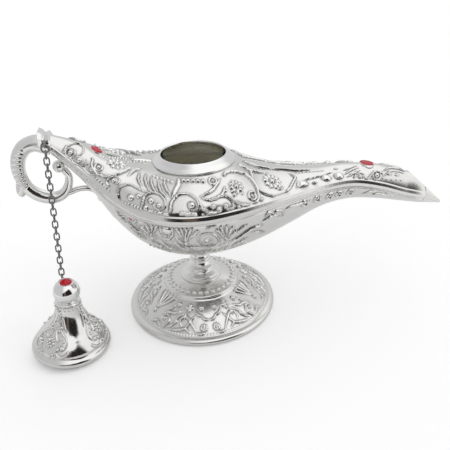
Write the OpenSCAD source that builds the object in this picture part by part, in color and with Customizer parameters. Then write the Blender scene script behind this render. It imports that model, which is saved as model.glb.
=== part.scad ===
// Genie oil lamp: a boat-shaped body cast as two shells on a turned foot, with a scroll handle,
// and a bell lid that hangs from the handle on a fine chain. Millimetres, X from handle to spout,
// Z up, origin on the floor under the middle of the foot.

/* [Body] */
// Wall of the two cast shells
shell_wall = 1.2; // [1:0.1:1.5]
// Height of the smooth band along the seam
band_h = 2.2; // [1.6:0.1:2.6]
// How far the band stands out from the shells
band_proud = 0.6; // [0.3:0.1:0.8]
// Where the mouth of the spout opens in the crown
mouth_start = 101; // [99:0.5:102]
// Where the upper shell ends, and the lower one goes on alone as the lip
mouth_x = 108; // [107:0.5:109]

/* [Neck] */
// Radius of the filling opening
neck_r = 13.7; // [12:0.1:14]
// Outer radius of the flared collar
collar_r = 17.6; // [16.5:0.1:18]
// Height of the collar's lip above the floor
collar_top = 77.6; // [77:0.1:79]

/* [Foot] */
// Radius of the foot
foot_r = 35; // [30:1:40]
// Height of the foot, up to the flange of the stem
foot_h = 14; // [12:0.5:16]
// Thickness of the foot's wall
foot_wall = 1.6; // [1.2:0.1:2]
// Radius of the through bolt
bolt_r = 1.5; // [1.2:0.1:1.8]

/* [Handle] */
// Thickness of the handle's tube against the drawn one
handle_scale = 1; // [0.85:0.05:1.05]

/* [Lid] */
// Radius of the lid's rim
lid_r = 16.7; // [16:0.1:17.5]
// Height of the middle of the knob above the rim
knob_z = 28.6; // [27:0.2:30]
// Radius of the ball knob
knob_r = 5.5; // [5:0.1:6]
// Lean of the lid as it stands on the floor with its chain taut, top towards the foot
lid_lean = 5; // [0:1:6]

/* [Chain] */
// Number of links, the round ring at the top included
link_n = 21; // [19:2:21]
// Wire of the oval links
link_wire = 0.6; // [0.5:0.05:0.65]
// Outer width of an oval link
link_w = 2.6; // [2.5:0.1:2.8]
// Outer diameter of the round ring
ring_d = 3.6; // [3.4:0.1:4]
// Wire of the round ring
ring_wire = 0.7; // [0.6:0.05:0.75]
// Running gap between two wires that bear on each other
link_gap = 0.08; // [0.06:0.01:0.1]

/* [Stones] */
// Radius of the stone on the tail
tail_stone_r = 3; // [2.5:0.1:3.2]
// Radius of the stone on the spout
spout_stone_r = 3.2; // [2.5:0.1:3.4]
// Radius of the stone on the knob
lid_stone_r = 2.9; // [2.5:0.1:3]

/* [Hidden] */
function link_name(i) = str("chain_link_", i < 10 ? "0" : "", i);

$fn = 64;
eps = 0.02;
silver = "#c9c9c4";
steel = "#a9a9a6";
ruby = "#b5122a";

// The body's lines: distance along X, half width at the seam, height of the seam, of the crown
// and of the keel, and the fullness of the crown's section (1 is a ridge, 2 an ellipse)
LINES = [
    [-57, 4.2, 85.6, 90.2, 81.6, 2],
    [-50, 7, 79.5, 87.6, 74.4, 2],
    [-43, 11, 73.3, 84.4, 65, 2.2],
    [-36, 16.6, 67.6, 80.2, 52.8, 2.4],
    [-26, 24, 62.8, 76.4, 41.6, 2.3],
    [-14, 29.2, 60.8, 74.4, 34.6, 2.3],
    [0, 31, 60.3, 74.4, 31.8, 2.3],
    [14, 27.6, 60, 74, 32.2, 2],
    [28, 22.6, 60, 70.3, 35.4, 1.4],
    [42, 17.2, 60, 66.8, 40.8, 1.35],
    [56, 12.2, 60, 65.4, 46.6, 1.5],
    [70, 8.7, 59.2, 65.5, 48.6, 1.6],
    [84, 7, 55.4, 63.8, 47, 1.7],
    [97, 5.8, 50.4, 59.6, 44.2, 1.8],
    [108, 4.4, 46.6, 55.6, 41.8, 1.8],
    [118.5, 1.2, 41.6, 46, 40.2, 1.8]];
tail_x = LINES[0][0];
tip_x = LINES[len(LINES) - 1][0];

// A column of the lines at x, as a smooth curve through the stations
function station(x, i = 0) = i >= len(LINES) - 2 || x < LINES[i + 1][0] ? i : station(x, i + 1);
function slope(i, k) =
    let (a = LINES[max(i - 1, 0)], b = LINES[min(i + 1, len(LINES) - 1)]) (b[k] - a[k]) / (b[0] - a[0]);
function line(x, k) =
    let (i = station(x), a = LINES[i], b = LINES[i + 1], h = b[0] - a[0], t = (x - a[0]) / h)
    a[k] * (2 * t * t * t - 3 * t * t + 1) + b[k] * (3 * t * t - 2 * t * t * t)
    + h * slope(i, k) * (t * t * t - 2 * t * t + t) + h * slope(i + 1, k) * (t * t * t - t * t);
function half_width(x) = line(x, 1);
function seam_z(x) = line(x, 2);
function crown_z(x) = line(x, 3);
function keel_z(x) = line(x, 4);

// Sections stand close where the body bends fast and at the same places on both shells
sections = concat([for (x = [tail_x:3:-21]) x], [for (x = [-18:3.6:54]) x],
                  [for (x = [58:4.3:105.3]) x], [mouth_x]);
lip_sections = [mouth_x + 0.1, 110.6, 113.2, 115.8, tip_x];

// The mouth is a slanted oval: its plane falls from the crown to the tip of the lip
mouth_top = 57.7;
mouth_slope = (mouth_top - seam_z(tip_x) - 0.2) / (tip_x - mouth_start);
function mouth_z(x) = mouth_top - mouth_slope * (x - mouth_start);
function rim_z(x) = x > mouth_x ? mouth_z(x) : seam_z(x);

// A section's half ellipse, swollen or thinned by its fullness, from one seam edge to the other
arc_n = 15;
function arc_point(w, h, p, a) =
    [w * sign(sin(a)) * pow(abs(sin(a)), 2 / p), h * pow(abs(cos(a)), 2 / p)];
function half_arc(w, h, p, from, to, n) =
    [for (i = [0:n - 1]) arc_point(w, h, p, from + (to - from) * i / (n - 1))];

// The wall thins towards the tip, so that the lip stays open
function wall(x) = min(shell_wall, 0.42 * half_width(x));
function on_section(x, z, side, pts) = [for (q = pts) [x, q[0], z + side * q[1]]];

// The upper section: the band, the crown and the band again, then back along the inside
function upper_ring(x) =
    let (w = half_width(x), h = crown_z(x) - seam_z(x), p = line(x, 5), t = wall(x),
         b = min(band_h, 0.4 * h), out = min(band_proud, 0.15 * w),
         a = acos(pow(b / h, p / 2)),
         edge = [[w, 0], [w + out, 0.25 * b], [w + out, 0.75 * b]])
    on_section(x, seam_z(x), 1, concat(
        [for (q = edge) [-q[0], q[1]]],
        half_arc(w, h, p, -a, a, arc_n),
        [for (i = [2:-1:0]) edge[i]],
        half_arc(w - t, h - t, p, 90, -90, arc_n + 6)));
// The lower section: the outside from one edge to the other, then back along the inside
function lower_ring(x) =
    let (w = half_width(x) - 0.2 * wall(x), h = rim_z(x) - keel_z(x), t = wall(x))
    on_section(x, rim_z(x), -1, concat(half_arc(w, h, 2, -90, 90, arc_n + 6),
                             half_arc(w - t, h - t, 2, 90, -90, arc_n + 6)));

// A skin over closed rings of one size, with its two ends closed between outside and inside
module skin(rings, flip) {
    n = len(rings[0]);
    last = len(rings) - 1;
    quads = concat(
        [for (i = [0:last - 1], j = [0:n - 1])
            let (k = (j + 1) % n) [i * n + j, i * n + k, (i + 1) * n + k, (i + 1) * n + j]],
        [for (j = [0:n / 2 - 2]) [j, n - 1 - j, n - 2 - j, j + 1]],
        [for (j = [0:n / 2 - 2]) [for (k = [j + 1, n - 2 - j, n - 1 - j, j]) last * n + k]]);
    tris = [for (q = quads, s = [[0, 1, 2], [0, 2, 3]]) [for (v = flip ? [s[0], s[2], s[1]] : s) q[v]]];
    polyhedron([for (r = rings, q = r) q], tris, convexity = 6);
}

// A smooth curve through points [x, z, radius], with n steps from each point to the next
function bend(p, i, t) =
    let (a = p[max(i - 1, 0)], b = p[i], c = p[i + 1], d = p[min(i + 2, len(p) - 1)])
    0.5 * (2 * b + (c - a) * t + (2 * a - 5 * b + 4 * c - d) * t * t + (3 * b - 3 * c + d - a) * t * t * t);
function smooth(p, n) = concat([for (i = [0:len(p) - 2], k = [0:n - 1]) bend(p, i, k / n)], [p[len(p) - 1]]);
function heading(p, i) =
    let (a = p[max(i - 1, 0)], b = p[min(i + 1, len(p) - 1)]) atan2(b[1] - a[1], b[0] - a[0]);

// A round tube in the lamp's middle plane, whose first ring faces along the angle first
module tube(path, sides, steps, first) {
    p = smooth(path, steps);
    last = len(p) - 1;
    pts = [for (i = [0:last], j = [0:sides - 1])
        let (dir = i == 0 ? first : heading(p, i), b = 360 * j / sides, r = p[i][2])
        [p[i][0] - r * cos(b) * sin(dir), r * sin(b), p[i][1] + r * cos(b) * cos(dir)]];
    side = [for (i = [0:last - 1], j = [0:sides - 1], s = [0, 1])
        let (k = (j + 1) % sides, a = i * sides, b = a + sides) s == 0 ? [a + j, b + k, b + j] : [a + j, a + k, b + k]];
    ends = [for (j = [1:sides - 2], s = [0, 1])
        let (b = last * sides) s == 0 ? [0, j + 1, j] : [b, b + j, b + j + 1]];
    polyhedron(pts, concat(side, ends), convexity = 8);
}

// Foot and stem
pad_z = 13.2;
pad_r = 8;
flange_r = 9.5;
rim_lip = 1.6;
lip_in = 3.7;
step_r = 17.7;
stem_top = 30.8;
washer_t = 1;
bore_gap = 0.1;
boss_r = 5.2;
boss_top = 34.4;
nut_h = 2.4;
nut_r = 3.2;

function arc(x, z, r, from, to) =
    [for (i = [0:8]) let (a = from + (to - from) * i / 8) [x + r * cos(a), z + r * sin(a)]];

// The foot's outside runs from its top plate over the step and down the ornamented slope to the lip
foot_top = foot_h + 1.8;
foot_slope = [[flange_r, foot_top], [14, foot_top - 0.7], [16.7, foot_top - 1.5], [step_r, foot_h - 0.7],
              [step_r + 0.5, foot_h - 1.4], [25, 8.7], [31.6, 3.9], [33, 3.25]];
module foot() {
    bore = bolt_r + bore_gap;
    color(silver) rotate_extrude() polygon(concat(
        [[bore, foot_top]], foot_slope, arc(foot_r - rim_lip, rim_lip, rim_lip, 84, -90),
        [[foot_r - lip_in, 0], [foot_r - lip_in, 1.4], [30.6, 3.9 - foot_wall], [24.6, 8.7 - foot_wall],
         [16.2, foot_h - 1.5 - foot_wall], [14, foot_top - 0.7 - foot_wall], [pad_r, pad_z], [bore, pad_z]]));
}
module stem() {
    color(silver) rotate_extrude() difference() {
        union() {
            polygon([[0, foot_top], [flange_r - 0.7, foot_top], [flange_r, foot_top + 0.4], [flange_r - 0.1, foot_top + 1],
                     [8.2, 17.4], [7.4, 18.1], [5.8, 18.9], [5.4, 19.4], [5.4, 21.6], [4.6, 22.4], [4.1, 23.2], [3.9, 24],
                     [3.9, 26], [3.6, 27.2], [3.7, 29.2], [4.4, stem_top], [0, stem_top]]);
            translate([5.4, 20.5]) scale(1.1) circle(r = 1);
            translate([3.7, 25]) circle(r = 0.95);
        }
        translate([0, foot_top - 1]) square([bolt_r + bore_gap, stem_top]);
    }
}
module foot_washer() {
    color(steel) translate([0, 0, pad_z - washer_t]) difference() {
        cylinder(h = washer_t, r = 5);
        translate([0, 0, -eps]) cylinder(h = washer_t + 1, r = bolt_r + bore_gap);
    }
}
module foot_bolt() {
    head_z = pad_z - washer_t;
    color(steel) difference() {
        union() {
            translate([0, 0, head_z - 1]) cylinder(h = boss_top + nut_h + 1.2 - head_z + 1, r = bolt_r);
            translate([0, 0, head_z - 2.2]) cylinder(h = 2.2, r1 = 2.6, r2 = 3.2);
        }
        translate([-4, -0.4, head_z - 3]) cube([8, 0.8, 1.9]);
    }
}
module body_nut() {
    color(steel) translate([0, 0, boss_top]) difference() {
        cylinder(h = nut_h, r = nut_r, $fn = 6);
        translate([0, 0, -eps]) cylinder(h = nut_h + 1, r = bolt_r);
    }
}

// Stones sit in pressed cups let into the crown. A setting's own Z is square to the surface.
cup_wall = 0.3;
cup_depth = 0.9;
cup_h = 1;
stone_girdle = 0.35;
stone_crown = 0.6;
tail_stone_x = -39.4;
spout_stone_x = 79;
module on_crown(x) {
    pitch = atan2(crown_z(x + 1) - crown_z(x - 1), 2);
    translate([x, 0, crown_z(x)]) rotate([0, -pitch, 0]) children();
}
module cup(r) {
    difference() {
        translate([0, 0, -cup_depth]) cylinder(h = cup_h, r = r + cup_wall);
        translate([0, 0, cup_wall - cup_depth]) cylinder(h = cup_h, r = r);
    }
}
// A round stone with a flat table and one row of slanted facets
module stone(r) {
    translate([0, 0, cup_wall - cup_depth]) {
        cylinder(h = stone_girdle, r = r);
        translate([0, 0, stone_girdle]) cylinder(h = stone_crown, r1 = r, r2 = 0.62 * r);
    }
}

// Body
collar_seat = 73.5;
collar_bore = 15.2;
scroll_bead = [-40.6, 0, 60.6];
module upper_shell() {
    color(silver) difference() {
        skin([for (x = sections) upper_ring(x)], false);
        translate([0, 0, 60]) cylinder(h = 30, r = collar_bore);
        translate([0, 0, collar_seat]) cylinder(h = 20, r = collar_r + 0.2);
        on_crown(tail_stone_x) translate([0, 0, -cup_depth]) cylinder(h = 5, r = tail_stone_r + cup_wall);
        on_crown(spout_stone_x) translate([0, 0, -cup_depth]) cylinder(h = 5, r = spout_stone_r + cup_wall);
        translate([mouth_start, 0, mouth_top]) rotate([0, atan(mouth_slope), 0]) translate([-3, -10, 0]) cube(20);
    }
}
module lower_shell() {
    color(silver) difference() {
        union() {
            skin([for (x = concat(sections, lip_sections)) lower_ring(x)], true);
            translate([0, 0, stem_top]) cylinder(h = boss_top - stem_top, r = boss_r);
            translate(scroll_bead) sphere(r = 1.6, $fn = 32);
        }
        cylinder(h = 60, r = bolt_r + bore_gap);
    }
}
// The collar: a tube in the neck under a flared and polished lip
module neck_collar() {
    lip = collar_top - 0.4;
    color(silver) rotate_extrude() polygon([
        [neck_r, 72], [neck_r, lip], [neck_r + 0.4, collar_top], [neck_r + 1, lip],
        [15.6, 76.2], [16.8, 75.5], [collar_r, 74.9], [collar_r, 74.3], [collar_r - 0.5, 73.9],
        [16.6, collar_seat], [collar_bore - 0.1, collar_seat], [collar_bore - 0.1, 72]]);
}
module tail_bezel() { color(silver) on_crown(tail_stone_x) cup(tail_stone_r); }
module tail_stone() { color(ruby) on_crown(tail_stone_x) stone(tail_stone_r); }
module spout_bezel() { color(silver) on_crown(spout_stone_x) cup(spout_stone_r); }
module spout_stone() { color(ruby) on_crown(spout_stone_x) stone(spout_stone_r); }

// Handle: a scroll from the tail round to a volute under it, with a strut to the keel
SCROLL = [[-57, 85.9, 4.2], [-60, 86.6, 3.9], [-63.5, 87, 3.3], [-67.4, 85.6, 3], [-70.3, 82, 2.8],
          [-71.5, 77.4, 2.7], [-71.2, 72.6, 2.6], [-69.6, 68.2, 2.6], [-66.6, 65, 2.7], [-62.6, 63.1, 2.7],
          [-58.6, 62.9, 2.4], [-55.2, 64.7, 2], [-53.1, 68.2, 1.6], [-52.5, 72, 1.4], [-54, 75, 1.5]];
volute_at = [-55.6, 0, 76.4];
volute_r = 2.6;
STRUT = [[-56, 64, 1.3], [-52.8, 64.6, 1.3], [-49.7, 65.5, 1.2], [-46.6, 65.6, 1.2], [-44.4, 65, 1.1], [-42.7, 63.8, 1]];
function sized(path) = [for (p = path) [p[0], p[1], p[2] * handle_scale]];
module scroll() { tube(sized(SCROLL), 12, 3, 180); }
module handle() {
    color(silver) union() {
        scroll();
        translate(volute_at) sphere(r = volute_r * handle_scale);
        tube(sized(STRUT), 10, 3, 0);
        // Pointed leaf at the outside of the scroll
        translate([-72.6, 0, 72]) rotate([0, 184, 0]) cylinder(h = 8.2, r1 = 1.8, r2 = 0.4, $fn = 24);
    }
}

// Chain: its top hangs on the lug's eyelet and its end holds the lid's. Its own frame has Z
// back up the chain, X across the odd links and Y across the even ones.
lug_eye = [-58.2, -6.3, 87.2];
lug_wire = 0.8;
lug_ring_r = 1.3;
lid_eye_wire = 0.6;
lid_eye_r = 0.9;
lid_x = -61;
lid_y = -22.4;
lid_rim = 2;
lid_foot_r = lid_r - 1.1;
lid_mouth_r = lid_r - 1.8;
lid_lift = lid_foot_r * sin(lid_lean);
lid_eye_dir = [-0.22, 0.68, 0.7] / norm([-0.22, 0.68, 0.7]);
knob_at = [lid_x + knob_z * sin(lid_lean), lid_y, lid_lift + knob_z * cos(lid_lean)];
chain_end = knob_at + lid_eye_dir * (knob_r + 1.3) + [0, 0, 0.2];
chain_run = chain_end - lug_eye;
chain_lean = asin(-chain_run[1] / norm(chain_run));
chain_drift = atan2(chain_run[0], chain_run[2]) + (chain_run[0] < 0 ? 180 : -180);

// How far a wire's middle line stands inside the one that it hangs on
ring_hold = lug_wire / 2 + ring_wire / 2 + link_gap;
first_hold = ring_wire / 2 + link_wire / 2 + link_gap;
link_hold = link_wire + link_gap;
lid_hold = link_wire / 2 + lid_eye_wire / 2 + link_gap;
ring_r = (ring_d - ring_wire) / 2;
// Half the length of a link's middle line, so that the chain just reaches from lug to lid
half_l = (norm(chain_run) - 2 * ring_r + ring_hold + first_hold + (link_n - 2) * link_hold) / (2 * (link_n - 1));
bow_r = (link_w - link_wire) / 2;
link_pitch = 2 * half_l - link_hold;
first_end = 2 * ring_r - ring_hold;
second_end = first_end + 2 * half_l - first_hold;
function link_end(i) = i == 1 ? first_end : second_end + (i - 2) * link_pitch;
function link_middle(i) = i == 1 ? ring_r - ring_hold : link_end(i) - half_l;

module along_chain(s) {
    translate(lug_eye) rotate([-chain_lean, chain_drift, 0]) translate([0, 0, -s]) children();
}
module wire_ring(r, wire) { rotate([90, 0, 0]) rotate_extrude() translate([r, 0]) circle(r = wire / 2, $fn = 24); }
module oval_link() {
    straight = half_l - bow_r;
    for (s = [-1, 1]) {
        translate([s * bow_r, 0, -straight]) cylinder(h = 2 * straight, r = link_wire / 2, $fn = 24);
        translate([0, 0, s * straight]) rotate([90, 0, 0]) rotate([0, 0, s < 0 ? 180 : 0])
            rotate_extrude(angle = 180) translate([bow_r, 0]) circle(r = link_wire / 2, $fn = 24);
    }
}
module chain_link(i) {
    color(steel) along_chain(link_middle(i)) {
        if (i == 1) wire_ring(ring_r, ring_wire);
        else rotate([0, 0, i % 2 == 0 ? 90 : 0]) oval_link();
    }
}

// The lug: a faceted bud astride the handle, with the eyelet let into its near side
module lug_eyelet_solid() { along_chain(-lug_ring_r) rotate([0, 0, 90]) wire_ring(lug_ring_r, lug_wire); }
module chain_lug() {
    color(silver) difference() {
        hull() {
            translate([-58.4, 0, 92.1]) cube([1, 3, 0.8], center = true);
            translate([-60.9, 0, 90.6]) cube([0.6, 5, 1.6], center = true);
            translate([-55.7, 0, 89.4]) cube([0.6, 5, 1.8], center = true);
            translate([-58.2, 0, 88.2]) cube([2.6, 10.2, 2], center = true);
        }
        scroll();
        lug_eyelet_solid();
        translate([-57.04, -6, 80]) cube([12, 12, 11]);
    }
}
module lug_eyelet() { color(steel) lug_eyelet_solid(); }

// Lid: a hollow bell with a ball knob riveted on, a stone on top and a screw eye beside it
bell_top = 23.4;
bell_wall = 1.2;
BELL = [[4.9, 23.4], [5.1, 22], [5.9, 18.6], [7.4, 15.2], [9.6, 12.2], [12, 10], [14.2, 7.9], [15.4, 6], [15.7, 4.4]];
function round_curve(p, n) =
    [for (q = smooth([for (v = p) [v[0], v[1], 0]], n)) [q[0], q[1]]];
module in_lid() { translate([lid_x, lid_y, lid_lift]) rotate([0, lid_lean, 0]) children(); }
module lid_bell() {
    outside = round_curve(BELL, 3);
    last = len(outside) - 1;
    color(silver) in_lid() rotate_extrude() polygon(concat(
        [[1.6, bell_top]], outside, arc(lid_r - lid_rim, lid_rim, lid_rim, 66, -58),
        [[lid_foot_r, 0], [lid_mouth_r, 0], [lid_mouth_r, 3]],
        [for (i = [last:-1:0]) let (q = outside[i]) if (q[1] < 21) [q[0] - bell_wall, q[1] - 0.4]],
        [[3.7, bell_top - 1.4], [1.6, bell_top - 1.4]]));
}
knob_plane = sqrt(knob_r * knob_r - pow(lid_stone_r + cup_wall, 2));
module lid_stone_place() { in_lid() translate([0, 0, knob_z + knob_plane]) children(); }
module eye_shank() {
    tilt = acos(lid_eye_dir[2]);
    turn = atan2(lid_eye_dir[1], lid_eye_dir[0]);
    translate(knob_at) rotate([0, tilt, turn]) translate([0, 0, 2.6]) cylinder(h = knob_r + 0.6 - 2.6, r = 0.5, $fn = 24);
}
module lid_knob() {
    color(silver) difference() {
        in_lid() rotate_extrude() {
            intersection() {
                translate([0, knob_z]) circle(r = knob_r);
                translate([0, 20]) square([10, 20]);
            }
            polygon([[0, bell_top - 4.2], [1.5, bell_top - 4.2], [1.5, bell_top], [4.6, bell_top], [5.3, bell_top + 0.6],
                     [4.9, bell_top + 1.4], [4.2, bell_top + 2], [0, bell_top + 3]]);
        }
        lid_stone_place() translate([0, 0, -cup_depth]) cylinder(h = 5, r = lid_stone_r + cup_wall);
        eye_shank();
    }
}
module lid_knob_nut() {
    color(steel) in_lid() translate([0, 0, bell_top - 1.4 - 1.8]) difference() {
        cylinder(h = 1.8, r = 2.8, $fn = 6);
        translate([0, 0, -eps]) cylinder(h = 3, r = 1.5);
    }
}
module lid_bezel() { color(silver) lid_stone_place() cup(lid_stone_r); }
module lid_stone() { color(ruby) lid_stone_place() stone(lid_stone_r); }
module lid_eyelet() {
    color(steel) union() {
        along_chain(link_end(link_n) + lid_eye_r - lid_hold) rotate([0, 0, 90]) wire_ring(lid_eye_r, lid_eye_wire);
        eye_shank();
    }
}

foot();
foot_bolt();
foot_washer();
stem();
body_nut();
lower_shell();
upper_shell();
neck_collar();
handle();
chain_lug();
lug_eyelet();
tail_bezel();
tail_stone();
spout_bezel();
spout_stone();
for (i = [1:link_n])
    chain_link(i);
lid_bell();
lid_knob();
lid_knob_nut();
lid_bezel();
lid_stone();
lid_eyelet();
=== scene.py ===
"""Genie oil lamp: the looks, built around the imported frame. Metres in Blender, millimetres in the
tables below, X from handle to spout, Z up, origin on the floor under the foot."""
import math

import bmesh
import bpy
import numpy as np
from mathutils import Matrix, Vector


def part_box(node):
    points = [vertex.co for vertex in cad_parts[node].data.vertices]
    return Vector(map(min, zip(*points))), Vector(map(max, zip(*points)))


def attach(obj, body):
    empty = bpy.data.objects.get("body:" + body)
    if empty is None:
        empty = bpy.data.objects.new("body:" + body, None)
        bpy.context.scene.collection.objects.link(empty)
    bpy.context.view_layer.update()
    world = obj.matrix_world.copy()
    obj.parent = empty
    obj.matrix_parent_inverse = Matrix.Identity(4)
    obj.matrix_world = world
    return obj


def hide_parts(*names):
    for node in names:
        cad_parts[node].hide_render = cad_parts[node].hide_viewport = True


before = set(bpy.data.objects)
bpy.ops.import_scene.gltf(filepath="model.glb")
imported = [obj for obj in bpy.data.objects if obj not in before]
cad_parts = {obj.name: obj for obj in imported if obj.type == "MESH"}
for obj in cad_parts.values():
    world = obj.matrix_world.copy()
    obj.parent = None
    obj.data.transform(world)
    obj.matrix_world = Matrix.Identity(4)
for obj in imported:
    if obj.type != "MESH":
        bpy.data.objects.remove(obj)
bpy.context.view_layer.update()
MM = 0.001

# The camera of the photograph, in millimetres, with its focal length on a 36 mm sensor
CAM_AT = np.array([-18.0174, -204.4266, 155.1677])
CAM_FORWARD = np.array([0.12923909, 0.86475893, -0.48527235])
CAM_RIGHT = np.array([0.98579156, -0.16499597, -0.03148529])
CAM_UP = np.array([0.10729517, 0.47430826, 0.87379599])
LENS = 40.9005
PHOTO = 450
FOCAL_PX = LENS / 36 * PHOTO


def add_camera():
    data = bpy.data.cameras.new("photo_camera")
    data.lens, data.sensor_width = LENS, 36
    data.clip_start, data.clip_end = 0.01, 20
    cam = bpy.data.objects.new("photo_camera", data)
    turn = Matrix([list(CAM_RIGHT), list(CAM_UP), list(-CAM_FORWARD)]).transposed()
    cam.matrix_world = Matrix.Translation(Vector(CAM_AT * MM)) @ turn.to_4x4()
    bpy.context.scene.collection.objects.link(cam)
    bpy.context.scene.camera = cam


add_camera()


def to_px(points):
    """Where points in millimetres fall in the photograph, and how far they are from the camera."""
    d = points - CAM_AT
    depth = d @ CAM_FORWARD
    x = PHOTO / 2 + FOCAL_PX * (d @ CAM_RIGHT) / depth
    y = PHOTO / 2 - FOCAL_PX * (d @ CAM_UP) / depth
    return np.stack([x, y], -1), depth


def unit(v):
    v = np.asarray(v, float)
    return v / np.linalg.norm(v, axis=-1, keepdims=True)


def smoothstep(a, b, x):
    t = np.clip((x - a) / (b - a), 0, 1)
    return t * t * (3 - 2 * t)


def curve(points, per=8):
    """A smooth line through points of any dimension, with per steps between two of them."""
    p = np.asarray(points, float)
    if len(p) < 3:
        t = np.linspace(0, 1, per + 1)[:, None]
        return p[0] * (1 - t) + p[-1] * t
    ext = np.vstack([2 * p[0] - p[1], p, 2 * p[-1] - p[-2]])
    t = (np.arange(per) / per)[:, None]
    out = []
    for i in range(len(p) - 1):
        a, b, c, d = ext[i:i + 4]
        out.append(0.5 * (2 * b + (c - a) * t + (2 * a - 5 * b + 4 * c - d) * t**2
                          + (3 * b - 3 * c + d - a) * t**3))
    return np.vstack(out + [p[-1:]])


# Meshes


def mesh_object(name, points, faces, smooth=True):
    me = bpy.data.meshes.new(name)
    me.from_pydata([tuple(p) for p in np.asarray(points) * MM], [], faces)
    me.update()
    if smooth:
        me.shade_smooth()
    ob = bpy.data.objects.new(name, me)
    bpy.context.scene.collection.objects.link(ob)
    return ob


def grid_mesh(name, pts, caps=True):
    """A mesh over a grid of points [row, column] whose last column joins the first. caps closes the
    two end rows."""
    rows, cols = pts.shape[:2]
    i, j = np.meshgrid(np.arange(rows - 1), np.arange(cols), indexing="ij")
    k = (j + 1) % cols
    quads = np.stack([i * cols + j, i * cols + k, (i + 1) * cols + k, (i + 1) * cols + j], -1)
    me = bpy.data.meshes.new(name)
    me.vertices.add(rows * cols)
    me.vertices.foreach_set("co", (pts.reshape(-1, 3) * MM).astype(np.float32).ravel())
    me.loops.add(quads.size)
    me.loops.foreach_set("vertex_index", quads.astype(np.int32).ravel())
    me.polygons.add(quads.size // 4)
    me.polygons.foreach_set("loop_start", np.arange(0, quads.size, 4, dtype=np.int32))
    me.update(calc_edges=True)
    me.validate()
    if caps:
        bm = bmesh.new()
        bm.from_mesh(me)
        bm.verts.ensure_lookup_table()
        for row, step in ((0, -1), (rows - 1, 1)):
            ring = [bm.verts[row * cols + c] for c in range(cols)][::step]
            if len({tuple(np.round(v.co, 7)) for v in ring}) > 2:
                bm.faces.new(ring)
        bm.to_mesh(me)
        bm.free()
    me.shade_smooth()
    ob = bpy.data.objects.new(name, me)
    bpy.context.scene.collection.objects.link(ob)
    return ob


def paint(ob, name, values):
    """Stores one number a point for the material to read."""
    at = ob.data.attributes.new(name, "FLOAT", "POINT")
    at.data.foreach_set("value", np.asarray(values, np.float32))


def turned(profile, sides):
    """The grid of points of a profile [radius, z] turned about Z, and each column's angle."""
    a = np.linspace(0, 2 * np.pi, sides, endpoint=False)
    r, z = profile[:, :1], profile[:, 1:]
    return np.stack([r * np.cos(a), r * np.sin(a), np.repeat(z, sides, 1)], -1), a


def lathe(name, profile, sides=96, place=np.eye(4), closed=False):
    """A turned piece under a 4x4 placement in millimetres. closed joins the profile's two ends."""
    pts, _ = turned(np.asarray(profile, float), sides)
    pts = pts @ place[:3, :3].T + place[:3, 3]
    if closed:
        pts = np.concatenate([pts, pts[:1]])
    ob = grid_mesh(name, pts, caps=not closed)
    if closed:
        weld(ob)
    return ob


def weld(ob, gap=1e-6):
    """Joins points nearer than gap and turns the faces outwards."""
    bm = bmesh.new()
    bm.from_mesh(ob.data)
    bmesh.ops.remove_doubles(bm, verts=bm.verts, dist=gap)
    bmesh.ops.recalc_face_normals(bm, faces=bm.faces)
    bm.to_mesh(ob.data)
    bm.free()


def arc(x, z, r, start, end, n=10):
    a = np.radians(np.linspace(start, end, n))
    return np.stack([x + r * np.cos(a), z + r * np.sin(a)], -1)


# Ornament


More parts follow.
